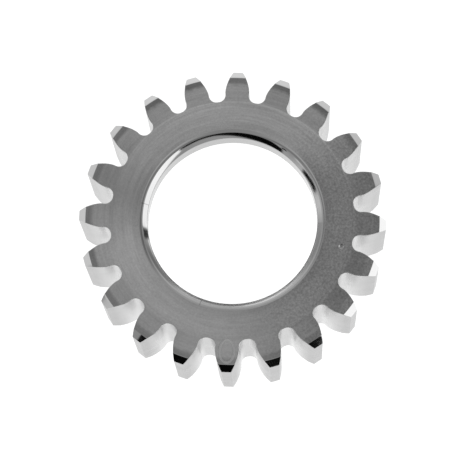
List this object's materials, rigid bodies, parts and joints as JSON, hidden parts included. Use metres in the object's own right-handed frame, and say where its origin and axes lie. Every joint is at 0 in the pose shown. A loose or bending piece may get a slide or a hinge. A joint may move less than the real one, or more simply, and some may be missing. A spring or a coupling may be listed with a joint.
{
  "type": "spur timing gear",
  "caption": "Straight-toothed steel timing gear with chamfered tooth ends, turned faces and a plain bush pressed into its smooth bore, so that it turns on a shaft.",
  "frame": {"origin": "centre of the back face, on the gear's axis", "axes": "+Z along the gear's axis from the back face to the marked front face, +X through the middle of one tooth"},
  "size_m": [0.066, 0.066, 0.022],
  "materials": {
    "gear_steel": "turned and ground steel: fine concentric tool marks on the faces, smooth bright tooth flanks, polished lead-in cone at the bore",
    "bush_metal": "bright burnished bearing surface on a steel back"
  },
  "bodies": {
    "root": {"gear_body": "gear_steel", "bore_bush": "bush_metal"}
  },
  "joints": []
}
